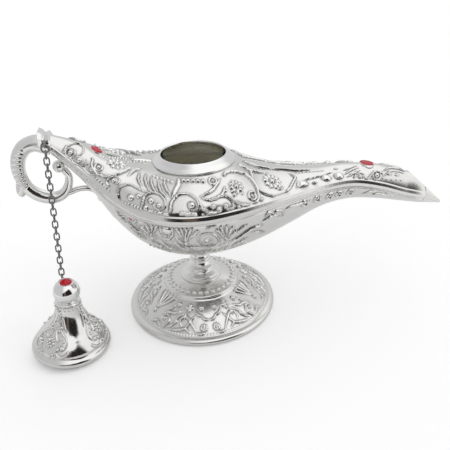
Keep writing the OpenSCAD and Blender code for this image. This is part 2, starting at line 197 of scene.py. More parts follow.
class Sheet:
    """A grid of points on one surface, with a height that ornament is stamped into."""

    def __init__(self, points):
        self.p = points
        du = np.gradient(points, axis=0)
        dv = np.gradient(points, axis=1)
        n = np.cross(du, dv)
        self.n = n / np.maximum(np.linalg.norm(n, axis=-1, keepdims=True), 1e-9)
        self.h = np.zeros(points.shape[:2])
        self.q = points.reshape(-1, 3)
        self.qn = self.n.reshape(-1, 3)
        px, depth = to_px(self.q)
        faces_camera = ((self.q - CAM_AT) * self.qn).sum(1) < 0
        self.px = np.where(faces_camera[:, None], px, 1e6)
        self.depth = depth

    def find(self, px):
        """The point of the surface that a pixel of the photograph shows."""
        d = ((self.px - np.asarray(px, float)) ** 2).sum(1)
        near = np.flatnonzero(d < d.min() + 0.5)
        return near[np.argmin(self.depth[near])]

    def at(self, px):
        return self.q[self.find(px)]

    def nearest(self, point):
        return np.argmin(((self.q - point) ** 2).sum(1))

    def tangents(self, i, along):
        """Two directions in the surface at point i, the first as near as may be to along."""
        n = self.qn[i]
        e1 = unit(along - (along @ n) * n)
        return e1, np.cross(n, e1)

    def around(self, lo, hi):
        inside = ((self.q > lo) & (self.q < hi)).all(1)
        return np.flatnonzero(inside)

    def lift(self, idx, height):
        flat = self.h.reshape(-1)
        flat[idx] = np.maximum(flat[idx], height)

    def ridge(self, path, width, height, ends="round"):
        """A raised line along a path. Its width swells or tapers as ends says."""
        path = np.asarray(path, float)
        reach = width + 0.2
        idx = self.around(path.min(0) - reach, path.max(0) + reach)
        if len(idx) == 0:
            return
        q = self.q[idx]
        a, b = path[:-1], path[1:]
        length = np.linalg.norm(b - a, axis=1)
        start = np.concatenate([[0], np.cumsum(length)])
        best = np.full(len(q), 1e9)
        where = np.zeros(len(q))
        for k in range(len(a)):
            ab = b[k] - a[k]
            t = np.clip(((q - a[k]) @ ab) / max(ab @ ab, 1e-9), 0, 1)
            d = ((q - a[k] - t[:, None] * ab) ** 2).sum(1)
            closer = d < best
            best[closer] = d[closer]
            where[closer] = (start[k] + t * length[k])[closer]
        where /= max(start[-1], 1e-9)
        swell = {"round": np.ones_like(where), "leaf": np.sqrt(np.clip(np.sin(np.pi * where), 0, 1)),
                 "taper": 1 - 0.75 * where, "grow": 0.25 + 0.75 * where}[ends]
        w = width * np.maximum(swell, 0.12)
        t = np.sqrt(best) / w
        self.lift(idx, height * (0.4 + 0.6 * swell) * np.clip(1 - t * t, 0, 1) ** 0.6)

    def dome(self, centre, radius, height, along=None, stretch=1.0):
        """A round or oval button."""
        reach = radius * max(stretch, 1) + 0.3
        idx = self.around(centre - reach, centre + reach)
        d = self.q[idx] - centre
        if along is not None:
            e = unit(along)
            s = d @ e
            d = d - s[:, None] * e * (1 - 1 / stretch)
        t = (d ** 2).sum(1) / radius ** 2
        self.lift(idx, height * np.clip(1 - t, 0, 1) ** 0.55)

    def ring(self, centre, radius, width, height):
        reach = radius + width + 0.2
        idx = self.around(centre - reach, centre + reach)
        r = np.linalg.norm(self.q[idx] - centre, axis=1)
        t = (r - radius) / width
        self.lift(idx, height * np.clip(1 - t * t, 0, 1) ** 0.6)

    def daisy(self, px_or_point, radius, height, petals=9, along=(1, 0, 0)):
        i = self.find(px_or_point) if len(px_or_point) == 2 else self.nearest(np.asarray(px_or_point))
        c = self.q[i]
        e1, e2 = self.tangents(i, np.asarray(along, float))
        for k in range(petals):
            a = 2 * np.pi * k / petals
            d = math.cos(a) * e1 + math.sin(a) * e2
            self.dome(c + d * radius * 0.66, radius * 0.2, height * 0.8, d, 1.65)
        self.dome(c, radius * 0.27, height)

    def traced(self, px_points, width, height, ends="round", per=6):
        """A ridge along a smooth line through pixels of the photograph."""
        self.ridge(np.array([self.at(p) for p in curve(px_points, per)]), width, height, ends)


# Body: the same lines as the solids, [x, half width, seam, crown, keel, fullness of the crown]
LINES = np.array([
    [-57, 4.2, 85.6, 90.2, 81.6, 2],
    [-50, 7, 79.5, 87.6, 74.4, 2],
    [-43, 11, 73.3, 84.4, 65, 2.2],
    [-36, 16.6, 67.6, 80.2, 52.8, 2.4],
    [-26, 24, 62.8, 76.4, 41.6, 2.3],
    [-14, 29.2, 60.8, 74.4, 34.6, 2.3],
    [0, 31, 60.3, 74.4, 31.8, 2.3],
    [14, 27.6, 60, 74, 32.2, 2],
    [28, 22.6, 60, 70.3, 35.4, 1.4],
    [42, 17.2, 60, 66.8, 40.8, 1.35],
    [56, 12.2, 60, 65.4, 46.6, 1.5],
    [70, 8.7, 59.2, 65.5, 48.6, 1.6],
    [84, 7, 55.4, 63.8, 47, 1.7],
    [97, 5.8, 50.4, 59.6, 44.2, 1.8],
    [108, 4.4, 46.6, 55.6, 41.8, 1.8],
    [118.5, 1.2, 41.6, 46, 40.2, 1.8]])
TAIL_X, MOUTH_X, TIP_X = -57.0, 108.0, 118.5
# The mouth is a slanted oval, whose plane falls from the crown to the tip of the lip
MOUTH_START, MOUTH_TOP = 101.0, 57.7
MOUTH_SLOPE = (MOUTH_TOP - 41.8) / (TIP_X - MOUTH_START)
WALL = 1.2
BAND_H, BAND_OUT = 2.2, 0.6
COLLAR_R = 17.6
NECK_CUT = 16.4
COLLAR_EDGE = 73.9
UPPER_RELIEF, LOWER_RELIEF, FOOT_RELIEF, LID_RELIEF = 1.45, 1.5, 1.6, 1.7
BAND_STEPS = 8
UPPER_STEPS, LOWER_STEPS, INSIDE_STEPS = 105, 120, 14
ROWS = 560


def lines_at(x):
    """All columns of LINES at the stations x, as a smooth curve."""
    x = np.atleast_1d(np.asarray(x, float))
    i = np.clip(np.searchsorted(LINES[:, 0], x, "right") - 1, 0, len(LINES) - 2)
    ahead = np.minimum(np.arange(len(LINES)) + 1, len(LINES) - 1)
    back = np.maximum(np.arange(len(LINES)) - 1, 0)
    slope = (LINES[ahead] - LINES[back]) / (LINES[ahead, :1] - LINES[back, :1])
    h = (LINES[i + 1, 0] - LINES[i, 0])[:, None]
    t = ((x - LINES[i, 0]))[:, None] / h
    return (LINES[i] * (2 * t**3 - 3 * t**2 + 1) + LINES[i + 1] * (3 * t**2 - 2 * t**3)
            + h * slope[i] * (t**3 - 2 * t**2 + t) + h * slope[i + 1] * (t**3 - t**2))


def stations(x0, x1, n):
    """x values at equal steps along the seam."""
    x = np.linspace(x0, x1, 2000)
    g = lines_at(x)
    steps = np.sqrt(np.diff(x)**2 + np.diff(g[:, 2])**2 + np.diff(g[:, 1])**2)
    s = np.concatenate([[0], np.cumsum(steps)])
    return np.interp(np.linspace(0, s[-1], n), s, x)


def even(points, n):
    """n points at equal steps along a line of points."""
    s = np.concatenate([[0], np.cumsum(np.linalg.norm(np.diff(points, axis=0), axis=1))])
    t = np.linspace(0, s[-1], n)
    return np.stack([np.interp(t, s, points[:, k]) for k in range(points.shape[1])], -1)


def oval(w, h, p, start, end, n):
    a = np.radians(np.linspace(start, end, n))
    y = w * np.sign(np.sin(a)) * np.abs(np.sin(a))**(2 / p)
    return np.stack([y, h * np.abs(np.cos(a))**(2 / p)], -1)


def upper_half(g):
    """The near half of an upper section from the seam to the crown, as [y, z]."""
    _, w, seam, crown, _, p = g
    h = crown - seam
    b, out = min(BAND_H, 0.4 * h), min(BAND_OUT, 0.15 * w)
    face = np.array([[w - 0.1, 0.02], [w + out, 0.05 * b], [w + out - 0.02, 0.1 * b],
                     [w + 0.7 * out, 0.4 * b], [w + 0.4 * out, 0.72 * b], [w + 0.15 * out, 0.96 * b],
                     [w - 0.1, 1.05 * b]])
    a = math.degrees(math.acos((b / h)**(p / 2)))
    field = even(oval(w, h, p, -a, 0, 160), UPPER_STEPS)
    band = even(face * [-1, 1], BAND_STEPS + 1)[:-1]
    return np.vstack([band, field]) + [0, seam]


def rim_z(g):
    """The lower shell's edge: the seam, and beyond the upper shell the rim of the lip."""
    return MOUTH_TOP - MOUTH_SLOPE * (g[0] - MOUTH_START) if g[0] > MOUTH_X else g[2]


def lower_half(g):
    """The near half of a lower section from the keel to the seam, as [y, z]."""
    _, w, seam, _, keel, _ = g
    seam = rim_z(g)
    w = w - 0.2 * min(WALL, 0.42 * w)
    field = even(oval(w, seam - keel, 2, 0, -90, 160), LOWER_STEPS + BAND_STEPS)
    return field * [1, -1] + [0, seam]


def inside(g, upper):
    """The inner face of a section from the far seam to the near one."""
    _, w, seam, crown, keel, p = g
    seam = seam if upper else rim_z(g)
    t = min(WALL, 0.42 * w)
    h, q = (crown - seam, p) if upper else (seam - keel, 2)
    w = w if upper else w - 0.2 * t
    o = oval(w - t, max(h - t, 0.3), q, 90, -90, INSIDE_STEPS)
    return o * [1, 1 if upper else -1] + [0, seam]


def shell_rows(xs, half):
    rows = []
    for x, g in zip(xs, lines_at(xs)):
        yz = half(g)
        rows.append(np.column_stack([np.full(len(yz), x), yz]))
    return np.array(rows)


def mirrored(near, join_last):
    """Adds the far half, mirrored over the middle plane, to a near half."""
    return both_halves(near, near * [1, -1, 1], join_last)


def both_halves(near, far, join_last):
    far = far[:, ::-1]
    return np.concatenate([near, far[:, 1:]] if join_last else [far, near[:, 1:]], 1)


# Ornament of the upper shell's near side, traced in pixels of the photograph
UPPER_LINES_PX = [
    (0.5, "taper", [(170, 210), (171.5, 202), (178, 195), (186, 193.5), (193, 196.3), (198.6, 203),
        (197.6, 208.6), (193, 210), (189.4, 207.6), (188.6, 204), (191, 201.6)]),
    (0.5, "taper", [(142, 206), (143.6, 198), (148, 193.6), (154, 192.6), (160.4, 195.2), (165, 202),
        (163.6, 208.6), (158.6, 211), (154.6, 208.4), (153.6, 204.6)]),
    (0.5, "taper", [(118.6, 199), (117.6, 191.4), (121, 186.2), (129.8, 184.4), (140.4, 189.6),
        (148.6, 191.2), (157.4, 186.4)]),
    (0.45, "leaf", [(200.2, 196.3), (205.8, 199.6), (214.2, 198.8), (221.2, 195.8), (228.2, 197),
        (233.4, 202), (233, 207.4), (229.4, 209.4), (226, 207.4)]),
    (0.5, "leaf", [(221, 177.5), (215.6, 186.5), (209.6, 192.1), (201.6, 196)]),
    (0.4, "leaf", [(224.6, 186), (223, 193), (218, 196.4)]),
    (0.45, "leaf", [(200.2, 203.3), (204.4, 210), (211.4, 213.4), (219.8, 211.6)]),
    (0.5, "round", [(223.3, 175), (228.2, 171.6), (236.6, 171.4), (246.5, 175.3), (253.5, 182.3),
        (257.7, 191), (258.2, 198.6), (253.5, 204), (245, 205), (236.6, 202)]),
    (0.5, "round", [(250.7, 171.6), (253.9, 182.3), (260.5, 190.7), (270.3, 195.2), (281.5, 194.4),
        (288.6, 189.3), (292.8, 182.3), (295, 177), (291.4, 174)]),
    (0.4, "leaf", [(296, 190), (298, 183), (304, 179.6), (312, 178), (322, 175), (332, 172)]),
    (0.45, "leaf", [(150.9, 176.4), (152.2, 186), (157.5, 194)]),
    (0.45, "leaf", [(157.9, 180.5), (160.6, 190.2), (167, 198)]),
    (0.45, "leaf", [(164, 178.5), (166, 188), (171, 196)]),
    (0.9, "leaf", [(178.6, 177.4), (177.6, 186), (171.4, 198)]),
    (0.45, "leaf", [(146, 173.5), (145.6, 181.5), (149, 190)]),
    (0.4, "leaf", [(140, 172), (138.6, 179.5), (141.6, 187)]),
    (0.4, "taper", [(108, 186), (106.6, 181.6), (109.6, 177), (115, 176), (119, 179), (118, 183),
        (114, 183.6)]),
    (0.45, "round", [(93, 158.6), (92.4, 166), (96.6, 173), (105, 176.2), (118, 174), (129.6, 168.6)]),
    (0.4, "taper", [(64.2, 153), (66.6, 147), (73, 143.4), (80, 144.2), (84, 149), (81.6, 154), (77, 155)]),
    (0.4, "taper", [(70, 158), (74, 163), (80.6, 165.6), (86.6, 163.6), (87, 159)]),
    (0.4, "taper", [(84, 168), (88, 172.6), (94, 175), (98, 172.6), (97, 168.6)]),
    (0.4, "leaf", [(130, 160), (138, 157.4), (148, 158), (157, 156.4)]),
    (0.4, "leaf", [(128, 176), (134, 171), (142, 168.6)]),
    (0.4, "leaf", [(100, 148.6), (108, 150.6), (118, 153.6), (127, 154.6)]),
    (0.4, "leaf", [(241, 159.4), (252, 164.6), (262, 167.6), (274, 168.4)]),
    (0.4, "leaf", [(236, 162), (246, 168.6), (256, 172), (268, 172.8)]),
    (0.4, "leaf", [(268, 168.6), (282, 169.4), (296, 170.6), (310, 169.8)]),
    (0.4, "leaf", [(345, 174), (351, 169.8), (358, 167.2)]),
    (0.4, "leaf", [(343.6, 170.6), (350, 167.4), (357, 165.4)]),
    (0.4, "leaf", [(347.6, 177), (353.6, 173), (360, 170)]),
    (0.4, "taper", [(354, 179), (355.6, 174.6), (360, 172.6), (364, 174.6), (363, 178)]),
    (0.4, "taper", [(364, 180), (368.6, 177.6), (371.6, 173.6), (377, 171), (382, 173), (381, 177)]),
    (0.35, "leaf", [(384, 176), (389, 171.6), (396, 170.6), (404, 173)]),
    (0.35, "leaf", [(383, 171), (389, 168), (397, 168.4), (405, 171)])]
# Buttons [x, y, radius in mm, height, stretch along the spout]
UPPER_DOMES_PX = [
    (192, 205.4, 1.35, 0.9, 1), (150.4, 200.6, 1.2, 0.8, 1), (158.6, 205.6, 0.9, 0.6, 1),
    (130, 197.6, 1.2, 0.7, 1), (226.6, 206, 1.0, 0.8, 1), (219.6, 209.8, 0.8, 0.6, 1),
    (213.4, 206.4, 0.9, 0.6, 1), (303, 184.2, 2.1, 1.0, 1.2), (315.2, 184, 1.2, 0.9, 1),
    (326.2, 177.6, 1.8, 0.9, 1.3), (338.4, 175.6, 2.0, 1.0, 1.1), (335.4, 168.4, 0.7, 0.5, 1),
    (262.4, 200.2, 1.0, 0.8, 1), (234.4, 194.8, 0.8, 0.6, 1), (279.4, 187, 0.7, 0.5, 1),
    (252.6, 195.4, 0.7, 0.6, 1), (212.8, 181, 0.7, 0.6, 1), (70.6, 152, 1.0, 0.6, 1),
    (78.6, 160.6, 1.0, 0.6, 1), (91, 169.4, 1.0, 0.6, 1), (99, 166.6, 0.8, 0.5, 1),
    (113.6, 179.8, 0.9, 0.6, 1), (360, 176.2, 0.9, 0.7, 1), (376.6, 174.6, 1.2, 0.8, 1),
    (389.6, 173.4, 0.8, 0.5, 1.3), (397, 174.2, 0.8, 0.5, 1.3), (138, 196, 0.9, 0.6, 1),
    (145.6, 208.6, 0.9, 0.6, 1), (347.6, 180.6, 0.8, 0.6, 1)]
UPPER_RINGS_PX = [
    (252.6, 195.4, 1.75, 0.4, 0.6), (212.8, 181, 1.5, 0.35, 0.5), (279.4, 187, 1.3, 0.3, 0.45),
    (99, 166.6, 1.5, 0.35, 0.45), (70.6, 152, 1.9, 0.35, 0.5), (303, 184.2, 2.5, 0.3, 0.4),
    (376.6, 174.6, 2.0, 0.35, 0.5)]
UPPER_DAISIES_PX = [
    (236, 186, 3.4, 0.75, 9), (271.6, 181, 4.4, 0.8, 10), (116.6, 163.4, 4.0, 0.7, 9)]
# Rows of small beads between two pixels [x0, y0, x1, y1, count, radius, height]
UPPER_BEADS_PX = [
    (183, 180.6, 203, 180.6, 5, 0.85, 0.6), (181, 213.6, 196, 214.8, 6, 0.6, 0.5),
    (149, 211.2, 167, 215, 7, 0.6, 0.5), (122, 202.6, 141, 209.4, 7, 0.6, 0.5),
    (154, 176, 171, 181.6, 6, 0.65, 0.5), (204, 216, 216, 215.4, 4, 0.6, 0.5),
    (226, 190.6, 243, 193.6, 4, 0.6, 0.4), (101, 155, 108, 160, 4, 0.6, 0.4),
    (110, 157, 126, 158.6, 7, 0.55, 0.4), (128, 162, 150, 160.6, 8, 0.55, 0.4),
    (239, 207.4, 250, 207, 4, 0.7, 0.5), (96, 179, 108, 190.6, 6, 0.6, 0.45),
    (275, 198.6, 291, 195.2, 5, 0.6, 0.45), (290, 173.6, 322, 170.4, 10, 0.5, 0.35),
    (384, 179, 402, 181, 5, 0.45, 0.3)]

LOWER_LINES_PX = [
    (0.35, "round", [(159.5, 228.6), (162.3, 234.2), (167.2, 239.8), (172.1, 235.6), (172.1, 228.6),
        (167.9, 223.8), (163, 224.8), (159.5, 228.6)]),
    (0.45, "taper", [(186.1, 247), (197.4, 247), (208.6, 248), (217, 245.2), (219.6, 239.8), (214.2, 234.6),
        (205.8, 233.8), (199.6, 236.4), (199, 241), (204, 244.2), (210.6, 243), (211.6, 239.6),
        (207, 238.6)]),
    (0.6, "leaf", [(228.2, 243.3), (239.4, 237), (249.3, 230), (261, 224.4)]),
    (0.4, "leaf", [(249.3, 229), (256, 226.6), (263.4, 225.6)]),
    (0.4, "leaf", [(250.6, 233), (257, 231.6), (264.6, 232.6)]),
    (0.4, "leaf", [(262, 222), (270, 217), (279, 214.6)]),
    (0.4, "taper", [(266, 216), (269, 212.6), (273.6, 213.4), (273, 216.4), (269.6, 216.2)]),
    (0.4, "taper", [(273.6, 215.6), (277, 210.6), (283, 211.4), (283, 215.6), (278.4, 216)]),
    (0.4, "leaf", [(285.7, 209.4), (291.4, 206.1), (298, 204.4), (305.4, 201.9)]),
    (0.4, "leaf", [(361.3, 194.6), (368.5, 192.2), (377.1, 190.8), (384.3, 192.2), (394.3, 196.2)]),
    (0.35, "leaf", [(372, 194.6), (380, 193.6), (387, 195.4)]),
    (0.45, "leaf", [(172, 240), (177, 244.6), (184, 248.6), (194, 250.6)]),
    (0.45, "leaf", [(174.6, 237), (180, 241), (184, 246.4)]),
    (0.45, "leaf", [(157, 238), (163, 243), (170, 247.6), (178, 250)]),
    (0.4, "leaf", [(152, 241), (158.6, 245), (166, 248.6)]),
    (0.4, "taper", [(127, 213), (131, 210.4), (136, 213), (135, 217), (131, 216.6)]),
    (0.4, "taper", [(134, 222), (139, 219.4), (144, 222.4), (143, 226.6), (138.6, 226)]),
    (0.4, "taper", [(117, 206), (120.6, 203.6), (125, 206), (124, 209.6), (120.6, 209)]),
    (0.4, "leaf", [(126, 219), (131, 225), (138, 230.6), (145, 234)]),
    (0.4, "leaf", [(131, 228), (138, 234), (146, 239)]),
    (0.4, "leaf", [(116, 211), (121, 217), (127, 223)]),
    (0.4, "leaf", [(236, 233), (242, 227.6), (248, 224.4)]),
    (0.4, "leaf", [(232, 246), (240, 242), (248, 237.4)]),
    (0.4, "leaf", [(206, 229.6), (211, 226.4), (216.6, 227)])]
# Palmettes [base x, base y, tips ...]
LOWER_FANS_PX = [
    ((151.7, 236.6), [(141.9, 227.5), (146.1, 225.4), (151, 225), (156, 227)]),
    ((186.1, 242.4), [(176.3, 229.6), (180.5, 227.6), (186.1, 227), (191.7, 228.2), (197.4, 231.8)]),
    ((226.8, 240.4), [(217.7, 230), (221.2, 227.4), (226.8, 226.6), (232.4, 227.6), (235.6, 231)])]
LOWER_RINGS_PX = [
    (305.3, 203.2, 1.7, 0.35, 0.4), (317.5, 199, 1.7, 0.35, 0.45), (329.6, 196.4, 1.6, 0.35, 0.45),
    (339.5, 193.9, 1.5, 0.35, 0.45), (350.8, 192.2, 1.5, 0.35, 0.45)]
LOWER_DOMES_PX = [
    (305.3, 203.2, 0.7, 0.35, 1), (317.5, 199, 0.7, 0.4, 1), (329.6, 196.4, 0.7, 0.4, 1),
    (339.5, 193.9, 0.6, 0.4, 1), (350.8, 192.2, 0.6, 0.4, 1), (166, 231.4, 1.9, 0.5, 1),
    (207, 240.8, 0.9, 0.5, 1), (151.7, 238, 0.8, 0.5, 1), (186.1, 244, 0.8, 0.5, 1),
    (226.8, 242.4, 0.8, 0.5, 1)]
LOWER_BEADS_PX = [
    (160, 228, 167, 238.6, 7, 0.4, 0.55), (167.6, 238.6, 172.4, 229, 6, 0.4, 0.55),
    (150, 246, 170, 252, 6, 0.5, 0.35), (197, 253, 226, 249, 7, 0.5, 0.35),
    (120, 214, 133, 229, 6, 0.45, 0.4)]


def stamp_pixels(sheet, lines, domes, rings, daisies, beads, height):
    for width, ends, path in lines:
        sheet.traced(path, width, height, ends)
    for x, y, r, h, stretch in domes:
        i = sheet.find((x, y))
        e1, _ = sheet.tangents(i, np.array([1.0, 0, 0]))
        sheet.dome(sheet.q[i], r, h, e1, stretch)
    for x, y, r, w, h in rings:
        sheet.ring(sheet.at((x, y)), r, w, h)
    for x, y, r, h, petals in daisies:
        sheet.daisy((x, y), r, h, petals)
    for x0, y0, x1, y1, count, r, h in beads:
        for t in np.linspace(0, 1, count):
            sheet.dome(sheet.at((x0 + (x1 - x0) * t, y0 + (y1 - y0) * t)), r, h)


def fan(sheet, base, tips, width, height):
    """A palmette of leaves that spread from one point."""
    for tip in tips:
        half_way = ((base[0] + tip[0]) / 2, (base[1] + tip[1]) / 2)
        sheet.traced([base, half_way, tip], width, height, "grow", 8)
        sheet.dome(sheet.at(tip), width * 1.25, height * 1.1)


def displaced(sheet):
    return sheet.p + sheet.n * sheet.h[..., None]


def cavity(h, reach):
    """How deep each point lies in the hollows beside raised work, from 0 to 1, for patina and painted shade."""
    soft = h.copy()
    for _ in range(reach):
        for axis in (0, 1):
            soft = (np.roll(soft, 1, axis) + soft + np.roll(soft, -1, axis)) / 3
    return np.clip((soft - h) * 3.2, 0, 1)


def add_shell(name, xs, upper, near, height, patina_and_shade_depth):
    """A closed shell from the near half's points and relief, with its mirror image and inner face."""
    inner = np.array([np.column_stack([np.full(INSIDE_STEPS, x), inside(g, upper)])
                      for x, g in zip(xs, lines_at(xs))])
    if not upper:
        inner = inner[:, ::-1]
    ob = grid_mesh(name, np.concatenate([mirrored(near, upper), inner], 1))
    # The hollows beside the relief get patina and painted shade, as a layer of their own
    for layer, outer, within in (("relief", height, 0), ("patina_and_shade", patina_and_shade_depth, 0), ("inside", height * 0, 1)):
        values = [both_halves(outer, outer, upper), np.full(inner.shape[:2], within)]
        paint(ob, layer, np.concatenate(values, 1).reshape(-1))
    return ob


def add_turned_relief(name, out, height):
    """A turned piece from its points and relief, both by row of the profile and column."""
    ob = grid_mesh(name, np.concatenate([out, out[:1]]), caps=False)
    # Patina and painted shade in the hollows beside the relief
    for layer, v in (("relief", height), ("patina_and_shade", cavity(height, 3))):
        paint(ob, layer, np.concatenate([v, v[:1]]).reshape(-1))
    weld(ob)
    return ob


def open_neck_and_mouth(ob):
    """Cuts the round hole of the neck and the slanted mouth, and closes the wall round both."""
    bm = bmesh.new()
    bm.from_mesh(ob.data)
    hole = [f for f in bm.faces if math.hypot(*f.calc_center_median().xy) < NECK_CUT * MM]
    bmesh.ops.delete(bm, geom=hole, context="FACES")
    edges = [e for e in bm.edges if e.is_boundary]
    bmesh.ops.bridge_loops(bm, edges=edges)
    normal = Vector((MOUTH_SLOPE, 0, 1)).normalized()
    at = Vector((MOUTH_START, 0, MOUTH_TOP)) * MM
    cut = bmesh.ops.bisect_plane(bm, geom=bm.verts[:] + bm.edges[:] + bm.faces[:], plane_co=at,
                                 plane_no=normal, clear_outer=True, dist=1e-7)
    rim = [e for e in cut["geom_cut"] if isinstance(e, bmesh.types.BMEdge)]
    bmesh.ops.triangle_fill(bm, edges=rim, use_beauty=True)
    bmesh.ops.recalc_face_normals(bm, faces=bm.faces)
    bm.to_mesh(ob.data)
    bm.free()


def add_upper_shell():
    xs = stations(TAIL_X, MOUTH_X, ROWS)
    near = shell_rows(xs, upper_half)
    # The surface sweeps up to the collar's edge, and is level under it
    r = np.hypot(near[..., 0], near[..., 1])
    up = near[..., 2] > 66
    near_neck = 1 - smoothstep(COLLAR_R - 0.2, COLLAR_R + 6, r)
    sweep = np.clip(COLLAR_EDGE - near[..., 2], 0, None) * near_neck**1.3
    near[..., 2] += sweep * up
    under = up & (r < COLLAR_R)
    near[..., 2] = np.where(under, np.minimum(near[..., 2], COLLAR_EDGE), near[..., 2])
    sheet = Sheet(near)
    stamp_pixels(sheet, UPPER_LINES_PX, UPPER_DOMES_PX, UPPER_RINGS_PX, UPPER_DAISIES_PX,
                 UPPER_BEADS_PX, 0.75)
    h = sheet.h
    h *= UPPER_RELIEF
    h[:, :BAND_STEPS + 2] = 0
    h *= smoothstep(COLLAR_R - 0.1, COLLAR_R + 0.7, r)
    h *= smoothstep(TAIL_X, TAIL_X + 2, near[..., 0])
    h *= smoothstep(MOUTH_START + 3, MOUTH_START, near[..., 0])
    for node, reach in (("tail_stone", 3.3), ("spout_stone", 3.5)):
        lo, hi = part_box(node)
        d = np.linalg.norm(near - np.array((lo + hi) / 2) / MM, axis=-1)
        h *= smoothstep(reach, reach + 0.7, d)
    ob = add_shell("upper_shell_relief", xs, True, displaced(sheet), h, cavity(h, 3))
    open_neck_and_mouth(ob)
    return ob


def add_lower_shell():
    xs = np.sort(np.concatenate([stations(TAIL_X, TIP_X, ROWS), [MOUTH_X, MOUTH_X + 0.1]]))
    near = shell_rows(xs, lower_half)
    sheet = Sheet(near)
    stamp_pixels(sheet, LOWER_LINES_PX, LOWER_DOMES_PX, LOWER_RINGS_PX, [], LOWER_BEADS_PX, 0.6)
    for base, tips in LOWER_FANS_PX:
        fan(sheet, base, tips, 0.5, 0.6)
    h = sheet.h
    h *= LOWER_RELIEF
    s = np.concatenate([np.zeros((len(xs), 1)),
                        np.cumsum(np.linalg.norm(np.diff(near, axis=1), axis=-1), 1)], 1)
    rise = np.array([rim_z(g) - g[2] for g in lines_at(xs)])
    down = s[:, -1:] - s - rise[:, None]
    h *= smoothstep(2.6, 3.0, down)
    for d, depth in ((1.5, 0.2), (2.3, 0.24)):
        h -= depth * np.exp(-((down - d) / 0.18)**2)
    h -= 0.2 * np.exp(-(down / 0.18)**2) * (xs > MOUTH_X)[:, None]
    r = np.hypot(near[..., 0], near[..., 1])
    h *= smoothstep(6.0, 7.0, r)
    return add_shell("lower_shell_relief", xs, False, displaced(sheet), h, cavity(h, 3))


# Foot: a turned dish whose slope carries a pattern that repeats three times
FOOT_R, FOOT_TOP, STEP_R = 35.0, 15.8, 17.7
FOOT_REPEATS = 3
FOOT_SIDES = 780


def foot_profile():
    top = curve([[1.6, FOOT_TOP], [9.5, FOOT_TOP], [14, 15.1], [16.7, 14.3]], 8)
    step = np.vstack([arc(16.8, 13.4, 0.9, 88, 10, 8), [[STEP_R + 0.1, 13.1], [STEP_R + 0.5, 12.6]]])
    slope = even(curve([[STEP_R + 0.5, 12.6], [25, 8.7], [31.6, 3.9], [33, 3.25]], 20), 46)[1:]
    lip = arc(FOOT_R - 1.6, 1.6, 1.6, 84, -90, 16)
    under = [[31.3, 0], [31.3, 1.4], [30.6, 2.3], [24.6, 7.1], [16.2, 10.9], [14, 13.5], [8, 13.2],
             [1.6, 13.2]]
    return np.vstack([top, step, slope, lip, under])


def on_slope(r, deg):
    """A point of the foot's slope at radius r and an angle in degrees."""
    z = np.interp(r, [18.2, 25, 31.6, 33], [12.6, 8.7, 3.9, 3.25])
    a = math.radians(deg)
    return np.array([r * math.cos(a), r * math.sin(a), z])


def slope_line(points, per=6):
    return np.array([on_slope(r, a) for r, a in curve(points, per)])


# The foot's pattern within one repeat: [radius, degrees from the middle of the group]
FOOT_LEAVES = [
    (0.55, "leaf", [(30.6, 12), (28, 16), (25.6, 21), (25.4, 26), (27.4, 28), (28.8, 25.6)]),
    (0.5, "leaf", [(24.6, 14), (26.4, 18), (29, 21.6), (30.6, 27)]),
    (0.5, "leaf", [(30.8, 17), (29.6, 22), (30.4, 30), (30.8, 36)]),
    (0.5, "leaf", [(24, 27), (26.4, 32), (28.8, 34), (30.4, 40)]),
    (0.55, "taper", [(30.6, 42), (28.2, 39), (26.2, 42), (26.6, 47), (28.6, 47.6), (28.6, 44.6)]),
    (0.5, "leaf", [(23, 30), (24.6, 36), (25, 43), (26.6, 50)]),
    (0.45, "leaf", [(30.8, 46), (29.6, 51), (30.6, 56)]),
    (0.45, "leaf", [(24.4, 8), (26, 4), (26.2, 0)]),
    (0.45, "leaf", [(22.6, 14.6), (24.2, 11), (24.6, 6)]),
    (0.4, "leaf", [(30.9, 5), (31.2, 9), (30.6, 13)]),
    (0.4, "leaf", [(23.4, 22), (24.8, 24.6), (26.6, 24)]),
    (0.4, "leaf", [(21.4, 40), (23, 42), (24, 46)])]
FOOT_FAN = [(19.4, 47), (18.9, 53), (18.8, 60), (18.9, 67), (19.4, 73)]
FOOT_FAN_BASE = (25.6, 60)


